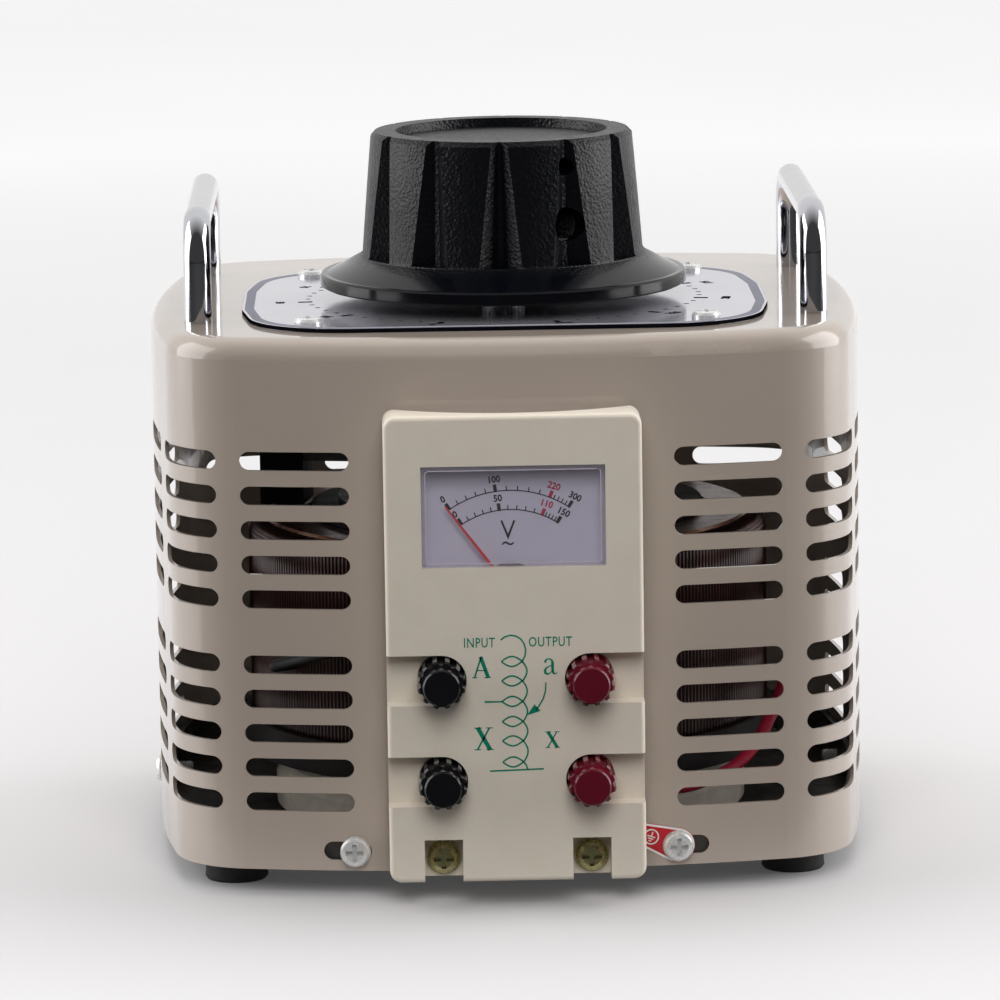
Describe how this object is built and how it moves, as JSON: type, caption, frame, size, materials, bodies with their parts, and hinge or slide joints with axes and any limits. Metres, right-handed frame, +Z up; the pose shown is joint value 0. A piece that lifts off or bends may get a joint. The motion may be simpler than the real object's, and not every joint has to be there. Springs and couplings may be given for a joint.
{
  "type": "variable autotransformer",
  "caption": "Bench variable autotransformer: slotted steel hood, big dial knob on a scale plate, carrying handles, front terminal panel with voltmeter and binding posts.",
  "frame": {"origin": "on the surface under the feet, midway between the four feet; the knob's shaft stands 16 mm forward of it", "axes": "+Z up along the knob's shaft, -Y towards the terminal panel (front), +X to the right seen from the front"},
  "size_m": [0.2156, 0.226, 0.2127],
  "materials": {
    "cream_paint": "gloss enamel",
    "zinc_sheet": "dull zinc",
    "chrome_rod": "mirror",
    "bright_screw": "bright zinc",
    "yellow_zinc": "yellow passivated zinc",
    "dial_metal": "satin, printed scale",
    "black_knob": "grained black moulding",
    "foot_rubber": "matt",
    "cream_plastic": "moulded, satin",
    "clear_cover": "clear cover",
    "meter_white": "pale printed card",
    "meter_black": "dark moulding",
    "needle_red": "thin red paint",
    "spring_bronze": "phosphor bronze",
    "copper_wire": "enamelled copper",
    "copper_track": "bared and polished copper",
    "core_steel": "silicon steel strip",
    "phenolic": "phenolic moulding",
    "cast_alloy": "as cast",
    "plain_steel": "turned steel",
    "brass_part": "turned brass",
    "carbon": "carbon graphite",
    "post_black": "gloss moulding",
    "post_red": "gloss moulding",
    "lead_red": "sleeved lead",
    "lead_black": "sleeved lead",
    "lead_earth": "green and yellow sleeve",
    "tag_print": "red print on white foil"
  },
  "bodies": {
    "case": {"hood": "cream_paint", "base_tray": "zinc_sheet", "rubber_feet": "foot_rubber", "foot_screws": "bright_screw", "m4_nuts": "bright_screw", "m6_nuts": "bright_screw", "hood_screws": "bright_screw", "plain_washers": "bright_screw", "handle_left": "chrome_rod", "handle_right": "chrome_rod", "dial_plate": "dial_metal", "dial_screws": "bright_screw", "base_casting": "cast_alloy", "coil_insulators": "phenolic", "toroid_core": "core_steel", "winding": "copper_wire", "brush_track": "copper_track", "clamp_plate": "zinc_sheet", "shaft_bushes": "brass_part", "tie_bolts": "plain_steel", "stop_post": "plain_steel", "collector_leaf": "spring_bronze", "terminal_panel": "cream_plastic", "panel_screws": "yellow_zinc", "panel_washers": "yellow_zinc", "meter_case": "meter_white", "meter_dial": "meter_white", "meter_window": "clear_cover", "meter_hub": "meter_black", "meter_movement": "plain_steel", "hairspring": "spring_bronze", "binding_studs": "brass_part", "stud_nuts_lugs": "brass_part", "post_bases_black": "post_black", "post_bases_red": "post_red", "earth_tag": "tag_print", "output_lead": "lead_red", "input_leads": "lead_black", "meter_leads": "lead_black", "earth_lead": "lead_earth"},
    "rotor": {"shaft": "plain_steel", "shaft_clip": "plain_steel", "collector_ring": "brass_part", "knob_collar": "plain_steel", "brush_arm": "cast_alloy", "brush_box": "phenolic", "brush_spring": "spring_bronze", "knob": "black_knob", "knob_set_screw": "plain_steel"},
    "brush": {"carbon_brush": "carbon"},
    "needle": {"meter_needle": "needle_red", "needle_spindle": "plain_steel"},
    "ring_in_line": {"post_ring_in_line": "brass_part"},
    "cap_in_line": {"post_cap_in_line": "post_black"},
    "ring_in_common": {"post_ring_in_common": "brass_part"},
    "cap_in_common": {"post_cap_in_common": "post_black"},
    "ring_out_line": {"post_ring_out_line": "brass_part"},
    "cap_out_line": {"post_cap_out_line": "post_red"},
    "ring_out_common": {"post_ring_out_common": "brass_part"},
    "cap_out_common": {"post_cap_out_common": "post_red"}
  },
  "joints": [
    {"name": "knob_turn", "type": "hinge", "parent": "case", "child": "rotor", "pos_m": [0, -0.016, 0.19], "axis": [0, 0, -1], "range_deg": [0, 320]},
    {"name": "brush_slide", "type": "slide", "parent": "rotor", "child": "brush", "axis": [0, 0, 1], "range_m": [0, 0.003], "stiffness_N_per_m": 100, "springref_m": -0.01, "deforming": ["brush_spring"]},
    {"name": "needle_swing", "type": "hinge", "parent": "case", "child": "needle", "pos_m": [-0.0009, -0.11, 0.0916], "axis": [0, 1, 0], "range_deg": [0, 70], "stiffness_Nm_per_rad": 0.0004},
    {"name": "post_in_line_travel", "type": "slide", "parent": "case", "child": "ring_in_line", "axis": [0, -1, 0], "range_m": [0, 0.004]},
    {"name": "post_in_line_turn", "type": "hinge", "parent": "ring_in_line", "child": "cap_in_line", "pos_m": [-0.0211, -0.118, 0.0667], "axis": [0, -1, 0], "range_deg": [0, 1440]},
    {"name": "post_in_common_travel", "type": "slide", "parent": "case", "child": "ring_in_common", "axis": [0, -1, 0], "range_m": [0, 0.004]},
    {"name": "post_in_common_turn", "type": "hinge", "parent": "ring_in_common", "child": "cap_in_common", "pos_m": [-0.0211, -0.118, 0.0375], "axis": [0, -1, 0], "range_deg": [0, 1440]},
    {"name": "post_out_line_travel", "type": "slide", "parent": "case", "child": "ring_out_line", "axis": [0, -1, 0], "range_m": [0, 0.004]},
    {"name": "post_out_line_turn", "type": "hinge", "parent": "ring_out_line", "child": "cap_out_line", "pos_m": [0.0211, -0.118, 0.0667], "axis": [0, -1, 0], "range_deg": [0, 1440]},
    {"name": "post_out_common_travel", "type": "slide", "parent": "case", "child": "ring_out_common", "axis": [0, -1, 0], "range_m": [0, 0.004]},
    {"name": "post_out_common_turn", "type": "hinge", "parent": "ring_out_common", "child": "cap_out_common", "pos_m": [0.0211, -0.118, 0.0375], "axis": [0, -1, 0], "range_deg": [0, 1440]}
  ],
  "couplings": [
    {"joint": "post_in_line_turn", "follows": "post_in_line_travel", "rad_per_m": 6283.2},
    {"joint": "post_in_common_turn", "follows": "post_in_common_travel", "rad_per_m": 6283.2},
    {"joint": "post_out_line_turn", "follows": "post_out_line_travel", "rad_per_m": 6283.2},
    {"joint": "post_out_common_turn", "follows": "post_out_common_travel", "rad_per_m": 6283.2}
  ]
}
